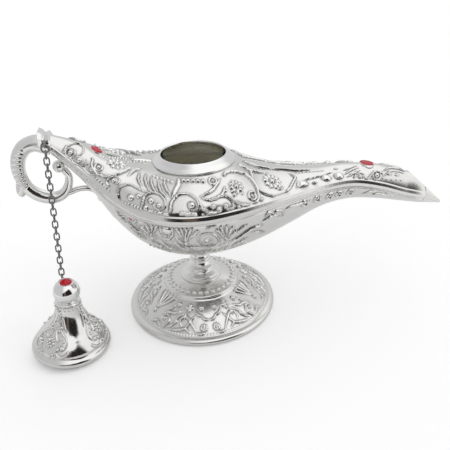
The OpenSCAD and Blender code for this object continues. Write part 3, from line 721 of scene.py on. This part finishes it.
def add_foot():
    pts, a = turned(foot_profile(), FOOT_SIDES)
    pts = pts[:, ::-1]
    sheet = Sheet(pts)
    if sheet.n[20, 0, 2] < 0:
        sheet.n = -sheet.n
    # One group, about the angle -90, is stamped and then turned round to the others
    middle = -90
    for side in (-1, 1):
        place = lambda r, d: on_slope(r, middle + side * d)
        for width, ends, path in FOOT_LEAVES:
            sheet.ridge(slope_line([(r, middle + side * d) for r, d in path]), width, 0.45, ends)
        sheet.daisy(place(29.0, 5.6), 1.9, 0.5, 9)
        sheet.dome(place(21.5, 7.6), 1.05, 0.9)
        for k in range(4):
            d = 2.0 * np.array([math.cos(k * math.pi / 2), math.sin(k * math.pi / 2)])
            sheet.dome(place(21.6 + 0.52 * d[0], 21.3 + 1.5 * d[1]), 0.85, 0.55)
        sheet.dome(place(21.6, 21.3), 0.7, 0.75)
        sheet.dome(place(20.9, 35.3), 0.95, 0.75)
        sheet.dome(place(27.6, 32.4), 0.8, 0.55)
        sheet.dome(place(27.6, 44.6), 0.8, 0.55)
        base_r, base_d = FOOT_FAN_BASE
        for r, d in FOOT_FAN:
            leaf = [(base_r, middle + side * base_d), ((r + base_r) / 2, middle + side * (d + base_d) / 2),
                    (r, middle + side * d)]
            sheet.ridge(slope_line(leaf), 0.75, 0.55, "grow")
        sheet.dome(place(26.6, 60), 1.0, 0.6)
    for k in range(48):
        sheet.dome(on_slope(31.6, middle + k * 2.5 - 60), 0.42, 0.25)
    span = FOOT_SIDES // FOOT_REPEATS
    angle = (np.degrees(a[::-1]) - middle + 60) % 360
    first = np.flatnonzero(angle < 120)
    first = first[np.argsort(-angle[first])]
    h = np.zeros_like(sheet.h)
    for k in range(FOOT_REPEATS):
        h[:, (first - k * span) % FOOT_SIDES] = sheet.h[:, first]
    r = np.hypot(pts[..., 0], pts[..., 1])
    h *= FOOT_RELIEF * smoothstep(18.3, 18.8, r) * smoothstep(32.6, 32.0, r) * (pts[..., 2] > 2.6)
    # Beads round the top plate
    bead_r, bead_n = 15.2, 33
    for k in range(bead_n):
        b = 2 * math.pi * k / bead_n
        c = np.array([bead_r * math.cos(b), bead_r * math.sin(b), 14.8])
        idx = sheet.around(c - 1.2, c + 1.2)
        t = ((sheet.q[idx] - c) ** 2).sum(1) / 0.85**2
        flat = h.reshape(-1)
        flat[idx] = np.maximum(flat[idx], 0.75 * np.clip(1 - t, 0, 1)**0.55)
    return add_turned_relief("foot_relief", sheet.p + sheet.n * h[..., None], h)


def add_stem():
    p = np.vstack([[[1.6, FOOT_TOP]], [[8.8, FOOT_TOP]], arc(9.0, 16.3, 0.5, -70, 80, 8),
                   curve([[8.9, 16.85], [8.3, 17.3]], 3), arc(7.9, 17.5, 0.35, -20, 85, 5),
                   curve([[7.7, 17.95], [6.9, 18.3], [5.9, 18.9], [5.5, 19.4]], 4),
                   arc(5.5, 20.5, 1.05, -85, 85, 14),
                   curve([[5.4, 21.6], [4.6, 22.3], [4.1, 23.2], [3.9, 24]], 4),
                   arc(3.75, 25, 0.95, -80, 80, 12),
                   curve([[3.85, 26.05], [3.55, 27.2], [3.7, 29.2], [4.4, 30.8]], 6), [[1.6, 30.8]]])
    return lathe("stem_turned", np.vstack([p, p[:1]])[::-1], 128, closed=True)


NECK_R, COLLAR_TOP = 13.7, 77.6


def add_collar():
    lip = curve([[NECK_R, 76.6], [NECK_R + 0.12, 77.3], [NECK_R + 0.5, COLLAR_TOP], [NECK_R + 1.1, 77.25],
                 [15.7, 76.1], [16.9, 75.35], [COLLAR_R - 0.05, 74.85], [COLLAR_R, 74.35],
                 [COLLAR_R - 0.45, 73.95], [16.7, 73.75]], 7)
    p = np.vstack([[[NECK_R, 72]], lip, [[15.1, 73.5], [15.1, 72], [NECK_R, 72]]])
    ob = lathe("collar_polished", p[::-1], 160, closed=True)
    at = np.array([v.co for v in ob.data.vertices]) / MM
    paint(ob, "inside", (np.hypot(at[:, 0], at[:, 1]) < NECK_R + 0.3) & (at[:, 2] < 77.2))
    return ob


# Handle: [x, z, radius] along the scroll and along the strut, as in the solids
SCROLL = [[-57, 85.9, 4.2], [-60, 86.6, 3.9], [-63.5, 87, 3.3], [-67.4, 85.6, 3], [-70.3, 82, 2.8],
          [-71.5, 77.4, 2.7], [-71.2, 72.6, 2.6], [-69.6, 68.2, 2.6], [-66.6, 65, 2.7], [-62.6, 63.1, 2.7],
          [-58.6, 62.9, 2.4], [-55.2, 64.7, 2], [-53.1, 68.2, 1.6], [-52.5, 72, 1.4], [-54, 75, 1.5]]
STRUT = [[-56, 64, 1.3], [-52.8, 64.6, 1.3], [-49.7, 65.5, 1.2], [-46.6, 65.6, 1.2], [-44.4, 65, 1.1],
         [-42.7, 63.8, 1]]
SPUR = [[-70.8, 74, 1.6], [-71.4, 71.5, 2.0], [-71.9, 69.3, 2.2], [-72.3, 67.2, 2.1], [-72.5, 65.6, 1.7],
        [-72.6, 64.7, 0.9]]
VOLUTE_AT, VOLUTE_R = (-55.6, 76.4), 2.6
BEAD_AT, BEAD_R = (-40.6, 60.6), 1.8


def tube_rows(path, steps, sides):
    """Points round a path [x, z, radius] in the middle plane, with the place along it and the angle."""
    p = even(curve(path, 12), steps)
    d = np.gradient(p[:, :2], axis=0)
    d /= np.linalg.norm(d, axis=1, keepdims=True)
    a = np.linspace(0, 2 * np.pi, sides, endpoint=False)
    nx, nz = -d[:, 1], d[:, 0]
    r = p[:, 2:3]
    pts = np.stack([p[:, :1] + r * np.cos(a) * nx[:, None], r * np.sin(a) + 0 * p[:, :1],
                    p[:, 1:2] + r * np.cos(a) * nz[:, None]], -1)
    return pts, a


def lying(x, z):
    """A placement at [x, z] of the middle plane that lays a turned piece's axis across it."""
    return np.array([[1, 0, 0, x], [0, 0, -1, 0], [0, 1, 0, z], [0, 0, 0, 1.0]])


def add_handle():
    steps, sides = 420, 72
    pts, a = tube_rows(SCROLL, steps, sides)
    t = np.linspace(0, 1, steps)[:, None]
    n = pts - pts.mean(1, keepdims=True)
    n /= np.linalg.norm(n, axis=-1, keepdims=True)
    # Leaf ribs slant round the outer arc, between a smooth root and the bottom of the loop
    zone = smoothstep(0.17, 0.22, t) * smoothstep(0.52, 0.47, t)
    wave = 0.5 + 0.5 * np.cos(2 * np.pi * (t * 30 + 0.5 * np.cos(a)[None, :]))
    side = smoothstep(0.25, 0.55, np.abs(np.sin(a)))[None, :]
    h = zone * side * 0.4 * (wave - 0.6)
    # The outer edge of the loop is a plain round tube
    h = h * smoothstep(0.75, 0.4, np.cos(a))[None, :]
    # A raised seam runs along the inside and the outside of the whole scroll
    edge = np.exp(-(np.sin(a) / 0.16)**2)[None, :]
    h = h + 0.16 * edge * smoothstep(0.05, 0.12, t)
    out = pts + n * h[..., None]
    scroll = grid_mesh("handle_scroll", pts + n * h[..., None])
    paint(scroll, "relief", h.reshape(-1))
    strut = grid_mesh("handle_strut", tube_rows(STRUT, 60, 40)[0])
    ball = lathe("handle_volute", arc(0, 0, VOLUTE_R, -90, 90, 40), 64, lying(*VOLUTE_AT))
    spur = grid_mesh("handle_spur", tube_rows(SPUR, 50, 32)[0])
    bead = lathe("tail_scroll_bead", arc(0, 0, BEAD_R, -90, 90, 30), 48, lying(*BEAD_AT))
    pieces = [scroll, strut, ball, spur, bead]
    for o in pieces:
        weld(o, 1e-7)
    return pieces


def add_lug():
    """A small faceted bow on the tail, with the eyelet under its middle."""
    lo, hi = (np.array(v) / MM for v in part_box("chain_lug"))
    middle = (lo + hi) / 2
    half = (hi - lo) / 2
    top = hi[2]
    across = np.array([-1.0, -0.8, -0.25, 0.1, 0.75, 1.0]) * half[0]
    heights = np.array([0.72, 1.0, 0.84, 0.62, 0.74, 0.5]) * (top - lo[2])
    rows = []
    for x, h in zip(across, heights):
        depth = half[1] * (0.75 + 0.25 * h / (top - lo[2]))
        ring = [(-depth, 0), (-depth, h * 0.6), (-depth * 0.6, h), (depth * 0.6, h),
                (depth, h * 0.6), (depth, 0)]
        rows.append([[middle[0] + x, middle[1] + y, lo[2] + z] for y, z in ring])
    ob = grid_mesh("chain_lug_bow", np.array(rows))
    weld(ob, 1e-7)
    for face in ob.data.polygons:
        face.use_smooth = False
    return ob

# Lid: ogee bell with relief on three panels, leaning as the solid does
LID_AT, LID_LEAN = np.array([-61, -22.4]), 5.0
LID_R, LID_RIM, LID_FOOT = 16.7, 2.0, 15.6
KNOB_Z, KNOB_R, BELL_TOP = 28.6, 5.5, 23.4
BELL = [[4.9, 23.4], [5.1, 22], [5.9, 18.6], [7.3, 15.2], [9.2, 12.2], [11.2, 10], [13.1, 7.9], [14.4, 6],
        [15, 4.4]]
LID_LIFT = LID_FOOT * math.sin(math.radians(LID_LEAN))
LEAN_COS, LEAN_SIN = math.cos(math.radians(LID_LEAN)), math.sin(math.radians(LID_LEAN))
LID_PLACE = np.array([[LEAN_COS, 0, LEAN_SIN, LID_AT[0]], [0, 1, 0, LID_AT[1]],
                      [-LEAN_SIN, 0, LEAN_COS, LID_LIFT], [0, 0, 0, 1.0]])
# The bell's pattern, in groups about three angles, each mirrored over its middle. Points are
# [z, degrees from the middle], lines [width, height, ends, points], domes [z, degrees, radius, height]
LID_GROUPS = (-128, -8, 112)
LID_LEAVES = [
    (0.5, 0.45, "taper", [(21.6, 4), (18.6, 9), (15.6, 15), (13, 24), (11.6, 33), (9.6, 36), (8, 30),
                          (8.6, 25)]),
    (0.45, 0.35, "leaf", [(19, 22), (16, 27), (13.6, 34)]),
    (0.45, 0.4, "leaf", [(14, 5), (12, 9), (10.6, 15), (11.6, 20)]),
    (0.5, 0.4, "taper", [(7, 38), (5.6, 30), (5.6, 22), (7, 17), (8.4, 19)]),
    (0.35, 0.3, "leaf", [(17, 3), (15.6, 8), (16.6, 12)])]
LID_DOMES = [
    (8.4, 27, 0.9, 0.6), (8, 19.6, 0.7, 0.5), (13.6, 14, 0.6, 0.4), (17.6, 14, 0.5, 0.35),
    *((z, d, 0.5, 0.35) for z, d in ((6, 12), (5.2, 8), (5.2, 16), (20, 12), (18.6, 19), (15, 21), (10.4, 28)))]
LID_SIDES, LID_BEADS = 540, 18


def add_lid():
    outer = even(curve(BELL, 10), 78)
    rim = arc(LID_R - LID_RIM, LID_RIM, LID_RIM, 66, -58, 18)
    inner = curve([[p[0] - 1.2, p[1] - 0.4] for p in BELL[::-1] if p[1] < 21], 4)
    profile = np.vstack([[[1.6, BELL_TOP]], outer, rim, [[LID_FOOT, 0], [LID_R - 1.8, 0], [LID_R - 1.8, 3]],
                         inner, [[3.7, BELL_TOP - 1.4], [1.6, BELL_TOP - 1.4]]])
    pts, _ = turned(profile, LID_SIDES)
    pts = pts[:, ::-1]
    sheet = Sheet(pts)
    if (sheet.n[40, 0] * pts[40, 0])[0:2].sum() < 0:
        sheet.n = -sheet.n

    def spot(z, deg):
        r = np.interp(z, np.array(BELL)[::-1, 1], np.array(BELL)[::-1, 0])
        return np.array([r * math.cos(math.radians(deg)), r * math.sin(math.radians(deg)), z])

    def line(points):
        return np.array([spot(z, d) for z, d in curve(points, 6)])

    for middle in LID_GROUPS:
        for side in (-1, 1):
            for width, height, ends, path in LID_LEAVES:
                sheet.ridge(line([(z, middle + side * d) for z, d in path]), width, height, ends)
            for z, d, radius, height in LID_DOMES:
                sheet.dome(spot(z, middle + side * d), radius, height)
        sheet.daisy(spot(9.4, middle), 2.2, 0.5, 8, along=(0, 0, 1))
        sheet.ridge(line([(21, middle), (18, middle), (13.4, middle)]), 0.45, 0.35, "leaf")
    for k in range(LID_BEADS):
        sheet.dome(spot(22.6, 360 * k / LID_BEADS), 0.55, 0.5)
    h = LID_RELIEF * sheet.h * (pts[..., 2] > 4.2)
    out = (sheet.p + sheet.n * h[..., None]) @ LID_PLACE[:3, :3].T + LID_PLACE[:3, 3]
    bell = add_turned_relief("lid_bell_relief", out, h)
    knob = np.vstack([[[0, BELL_TOP - 4.2], [1.5, BELL_TOP - 4.2], [1.5, BELL_TOP], [4.6, BELL_TOP]],
                      arc(4.7, BELL_TOP + 0.6, 0.6, -80, 60, 8), [[4.4, BELL_TOP + 1.3]],
                      arc(0, KNOB_Z, KNOB_R, -50, 54, 40)])
    ball = lathe("lid_knob_ball", knob, 96, LID_PLACE)
    weld(ball, 1e-7)
    return bell, ball


# Stones: a brilliant-cut table over two rows of facets, in a turned cup
def add_stone(name, node, radius, sides=12):
    lo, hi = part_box(node)
    verts = np.array([v.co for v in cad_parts[node].data.vertices]) / MM
    centre = verts.mean(0)
    axis = unit(np.linalg.svd(verts - centre)[2][2])
    axis = axis if axis[2] > 0 else -axis
    base = centre - axis * ((centre - verts) @ axis).max()
    e1 = unit(np.cross(axis, [0, 1, 0]))
    e2 = np.cross(axis, e1)

    def ring(r, z, turn=0.0):
        a = 2 * np.pi * (np.arange(sides) + turn) / sides
        return base + axis * z + np.outer(np.cos(a), e1) * r + np.outer(np.sin(a), e2) * r

    rings = [ring(radius, 0), ring(radius, 0.3), ring(radius * 0.84, 0.65, 0.5), ring(radius * 0.6, 0.92)]
    pts = np.vstack(rings + [[base + axis * 0.95], [base]])
    n = sides
    faces = []
    for k in range(n):
        m = (k + 1) % n
        faces.append([k, m, n + m, n + k])
        faces.append([n + k, n + m, 2 * n + k])
        faces.append([n + m, 2 * n + m, 2 * n + k])
        faces.append([2 * n + k, 3 * n + m, 3 * n + k])
        faces.append([2 * n + k, 2 * n + m, 3 * n + m])
        faces.append([3 * n + k, 3 * n + m, 4 * n])
        faces.append([m, k, 4 * n + 1])
    ob = mesh_object(name, pts, faces, smooth=False)
    weld(ob, 1e-7)
    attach(ob, "lid" if node == "lid_stone" else "lamp")
    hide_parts(node)
    return ob


# Materials


class Tree:
    """The node tree of a material or world, with short calls for the nodes used here."""

    def __init__(self, owner, empty=False):
        owner.use_nodes = True
        self.tree = owner.node_tree
        if empty:
            self.tree.nodes.clear()

    def add(self, kind, **values):
        n = self.tree.nodes.new("ShaderNode" + kind)
        for k, v in values.items():
            if k in n.inputs:
                n.inputs[k].default_value = v
            else:
                setattr(n, k, v)
        return n

    def feed(self, socket, value):
        """Links a socket to another one, or sets it to a number or a colour."""
        if isinstance(value, tuple):
            socket.default_value = (*value, 1)
        elif isinstance(value, (int, float)):
            socket.default_value = value
        else:
            self.tree.links.new(value, socket)

    def joined(self, kind, *values, **settings):
        """Adds a node, feeds its first sockets in order and returns its first output."""
        n = self.add(kind, **settings)
        for socket, v in zip(n.inputs, values):
            self.feed(socket, v)
        return n.outputs[0]

    def math(self, op, *values):
        return self.joined("Math", *values, operation=op)

    def attribute(self, name):
        return self.add("Attribute", attribute_name=name).outputs["Fac"]

    def noise(self, scale, detail, space="Object"):
        n = self.add("TexNoise", Scale=scale, Detail=detail)
        self.feed(n.inputs["Vector"], self.add("TexCoord").outputs[space])
        return n.outputs["Fac"]

    def spread(self, value, lo, hi, to_lo=0.0, to_hi=1.0, kind="LINEAR"):
        """Maps the range lo to hi on to another."""
        n = self.add("MapRange", interpolation_type=kind)
        keys = ("Value", "From Min", "From Max", "To Min", "To Max")
        for key, v in zip(keys, (value, lo, hi, to_lo, to_hi)):
            self.feed(n.inputs[key], v)
        return n.outputs["Result"]

    def step(self, value, lo, hi):
        return self.spread(value, lo, hi, kind="SMOOTHSTEP")

    def blend(self, factor, a, b):
        n = self.add("Mix", data_type="RGBA")
        for key, v in zip(("Factor", "A", "B"), (factor, a, b)):
            self.feed(n.inputs[key], v)
        return n.outputs["Result"]

    def ramp(self, value, *stops):
        """Runs between two colours, each given with its place."""
        n = self.add("ValToRGB")
        for stop, (place, color) in zip(n.color_ramp.elements, stops):
            stop.position = place
            stop.color = (*color, 1)
        self.feed(n.inputs["Fac"], value)
        return n.outputs["Color"]


def new_material(name, color, metallic, roughness):
    """A material, its tree and the inputs of its shader."""
    m = bpy.data.materials.new(name)
    t = Tree(m)
    b = t.tree.nodes["Principled BSDF"].inputs
    t.feed(b["Base Color"], color)
    t.feed(b["Metallic"], metallic)
    t.feed(b["Roughness"], roughness)
    return m, t, b


SILVER = (0.88, 0.878, 0.862)
# Patina and painted shade for the hollows beside raised work
PATINA_AND_SHADE = (0.20, 0.195, 0.185)


def cast_silver(name, roughness, raw_inside=False):
    """Silver plate over a casting: bright on raised work; patina and painted shade darken the ground between.
    """
    m, t, b = new_material(name, SILVER, 1.0, roughness)
    bump = t.add("Bump", Strength=0.16, Distance=0.0001)
    t.feed(bump.inputs["Height"], t.noise(900, 3))
    t.feed(b["Normal"], bump.outputs["Normal"])
    patina_and_shade = t.attribute("patina_and_shade")
    # Painted shade with patina: the ground is darker than the raised work, and darkest in the hollows beside it
    plate = t.ramp(t.attribute("relief"), (0.0, (0.80, 0.795, 0.775)), (0.5, (0.90, 0.898, 0.885)))
    tone = t.blend(patina_and_shade, plate, PATINA_AND_SHADE)
    cloud = t.noise(60, 2)
    dull = t.math("MULTIPLY_ADD", patina_and_shade, 0.3, t.spread(cloud, 0, 1, roughness * 0.8, roughness * 1.5))
    if raw_inside:
        within = t.attribute("inside")
        raw = t.ramp(cloud, (0.3, (0.93, 0.90, 0.77)), (0.7, (0.97, 0.95, 0.85)))
        tone = t.blend(within, tone, raw)
        dull = t.math("MULTIPLY_ADD", within, 0.35, dull)
        t.feed(b["Metallic"], t.math("MULTIPLY_ADD", within, -1.0, 1.0))
    t.feed(b["Base Color"], tone)
    t.feed(b["Roughness"], dull)
    return m


def polished(name, color=SILVER, roughness=0.06):
    m, t, b = new_material(name, color, 1.0, roughness)
    smear = t.noise(140, 3)
    t.feed(b["Roughness"], t.spread(smear, 0.35, 0.75, roughness, roughness * 2.4))
    t.feed(b["Base Color"], t.ramp(smear, (0.3, tuple(0.96 * c for c in color)), (0.7, color)))
    return m


def red_glass():
    m, t, b = new_material("red_stone", (0.8, 0.004, 0.04), 0.0, 0.12)
    tone = t.ramp(t.noise(700, 1), (0.35, (0.46, 0.001, 0.012)), (0.65, (0.68, 0.003, 0.03)))
    t.feed(b["Base Color"], tone)
    t.feed(b["Specular IOR Level"], 0.4)
    return m


def dress(ob, material, body, slot, *replaced):
    ob.data.materials.clear()
    ob.data.materials.append(material)
    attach(ob, body)
    if replaced:
        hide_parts(*replaced)
    return ob


SILVER_CAST = cast_silver("cast_silver", 0.11, raw_inside=True)
SILVER_FOOT = cast_silver("foot_silver", 0.16)
SILVER_PLAIN = polished("plain_silver", roughness=0.1)
SILVER_BRIGHT = polished("bright_silver", (0.90, 0.90, 0.89), 0.045)
STEEL_CHAIN = polished("chain_steel", (0.30, 0.30, 0.30), 0.22)
STEEL_BOLT = polished("bolt_steel", (0.55, 0.55, 0.54), 0.25)
RED = red_glass()

dress(add_upper_shell(), SILVER_CAST, "lamp", "cast_silver", "upper_shell")
dress(add_lower_shell(), SILVER_CAST, "lamp", "cast_silver", "lower_shell")
dress(add_foot(), SILVER_FOOT, "lamp", "cast_silver", "foot")
dress(add_stem(), SILVER_PLAIN, "lamp", "cast_silver", "stem")
dress(add_collar(), SILVER_BRIGHT, "lamp", "polished_silver", "neck_collar")
dress(add_lug(), SILVER_PLAIN, "lamp", "cast_silver", "chain_lug")
for k, piece in enumerate(add_handle()):
    dress(piece, SILVER_PLAIN, "lamp", "cast_silver", *(["handle"] if k == 0 else []))
bell, ball = add_lid()
dress(bell, SILVER_CAST, "lid", "cast_silver", "lid_bell")
dress(ball, SILVER_BRIGHT, "lid", "cast_silver", "lid_knob")
for stone_node, radius in (("tail_stone", 3.0), ("spout_stone", 3.2), ("lid_stone", 2.9)):
    stone = add_stone(stone_node + "_cut", stone_node, radius)
    stone.data.materials.append(RED)

OWN_LOOKS = {"foot_bolt": STEEL_BOLT, "foot_washer": STEEL_BOLT, "body_nut": STEEL_BOLT,
             "lid_knob_nut": STEEL_BOLT, "lug_eyelet": STEEL_CHAIN, "lid_eyelet": STEEL_CHAIN,
             "tail_bezel": SILVER_BRIGHT, "spout_bezel": SILVER_BRIGHT, "lid_bezel": SILVER_BRIGHT}
for name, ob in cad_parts.items():
    material = STEEL_CHAIN if name.startswith("chain_link") else OWN_LOOKS.get(name)
    if material:
        ob.data.materials.clear()
        ob.data.materials.append(material)


# Stage: a pale floor that fades to white, and a studio whose front side is dark. FLOOR_FADE and
# FLOOR_CLEAR say where the fade and the reflections' view of the room begin and end
FLOOR_R, FLOOR_Z, FLOOR_SIDES = 0.42, -0.00002, 96
FLOOR_GLOW = 0.27
FLOOR_FADE, FLOOR_CLEAR = (0.10, 0.24), (0.17, 0.21)


def add_floor():
    a = np.linspace(0, 2 * np.pi, FLOOR_SIDES, endpoint=False)
    pts = np.array([[FLOOR_R * math.cos(t), FLOOR_R * math.sin(t), FLOOR_Z] for t in a]) / MM
    ob = mesh_object("floor", pts, [list(range(FLOOR_SIDES))], smooth=False)
    m = bpy.data.materials.new("floor_paper")
    t = Tree(m, empty=True)
    rays = t.add("LightPath").outputs
    paper = t.joined("BsdfDiffuse", Color=(0.92, 0.92, 0.92, 1))
    glow = t.joined("Emission", (1, 1, 1), t.math("MULTIPLY", rays["Is Camera Ray"], FLOOR_GLOW))
    white = t.joined("Emission", (1, 1, 1), 1.0)
    away = t.add("VectorMath", operation="LENGTH")
    t.feed(away.inputs[0], t.add("TexCoord").outputs["Object"])
    away = away.outputs["Value"]
    near = t.joined("AddShader", paper, glow)
    faded = t.joined("MixShader", t.step(away, *FLOOR_FADE), near, white)
    gone = t.math("MULTIPLY", t.step(away, *FLOOR_CLEAR), rays["Is Glossy Ray"])
    seen = t.joined("MixShader", gone, faded, t.joined("BsdfTransparent"))
    t.feed(t.add("OutputMaterial").inputs["Surface"], seen)
    ob.data.materials.append(m)


def add_world():
    """Pale walls, grey on the left and behind, and the dark room on the camera's side."""
    w = bpy.data.worlds.new("studio")
    bpy.context.scene.world = w
    t = Tree(w, empty=True)
    front = unit([-0.148, -0.989, 0])

    def along(v):
        d = t.add("VectorMath", operation="DOT_PRODUCT")
        d.inputs[1].default_value = tuple(float(c) for c in v)
        t.feed(d.inputs[0], t.add("TexCoord").outputs["Generated"])
        return d.outputs["Value"]

    def both(a, b):
        return t.math("MULTIPLY", a, b)

    ahead, up, left = along(front), along([0, 0, 1]), along(np.cross(front, [0, 0, 1]))
    ragged = t.math("ADD", up, both(t.noise(5, 3, "Generated"), 0.3))
    ragged = t.math("ADD", ragged, both(left, 0.45))
    room = both(both(t.step(ahead, 0.42, 0.6), t.step(left, 0.4, 0.24)),
                both(t.step(up, -0.27, -0.22), t.step(ragged, 0.60, 0.52)))
    stripe = both(t.step(left, -0.2, -0.14), t.step(left, 0.12, 0.06))
    lamp = both(t.step(up, 0.5, 0.75), t.step(left, 0.12, -0.12))
    walls = t.blend(t.step(left, -0.05, 0.4), (1.0, 1.0, 1.0), (0.6, 0.6, 0.61))
    walls = t.blend(t.step(ahead, -0.1, -0.7), walls, (0.68, 0.68, 0.69))
    walls = t.blend(lamp, walls, (1.1, 1.1, 1.1))
    dark = t.blend(stripe, (0.02, 0.018, 0.017), (0.13, 0.10, 0.08))
    seen = t.blend(t.add("LightPath").outputs["Is Camera Ray"], t.blend(room, walls, dark), (1, 1, 1))
    back = t.joined("Background", seen, 1.0)
    t.feed(t.add("OutputWorld").inputs["Surface"], back)


add_floor()
add_world()
view = bpy.context.scene.view_settings
view.view_transform = "Standard"
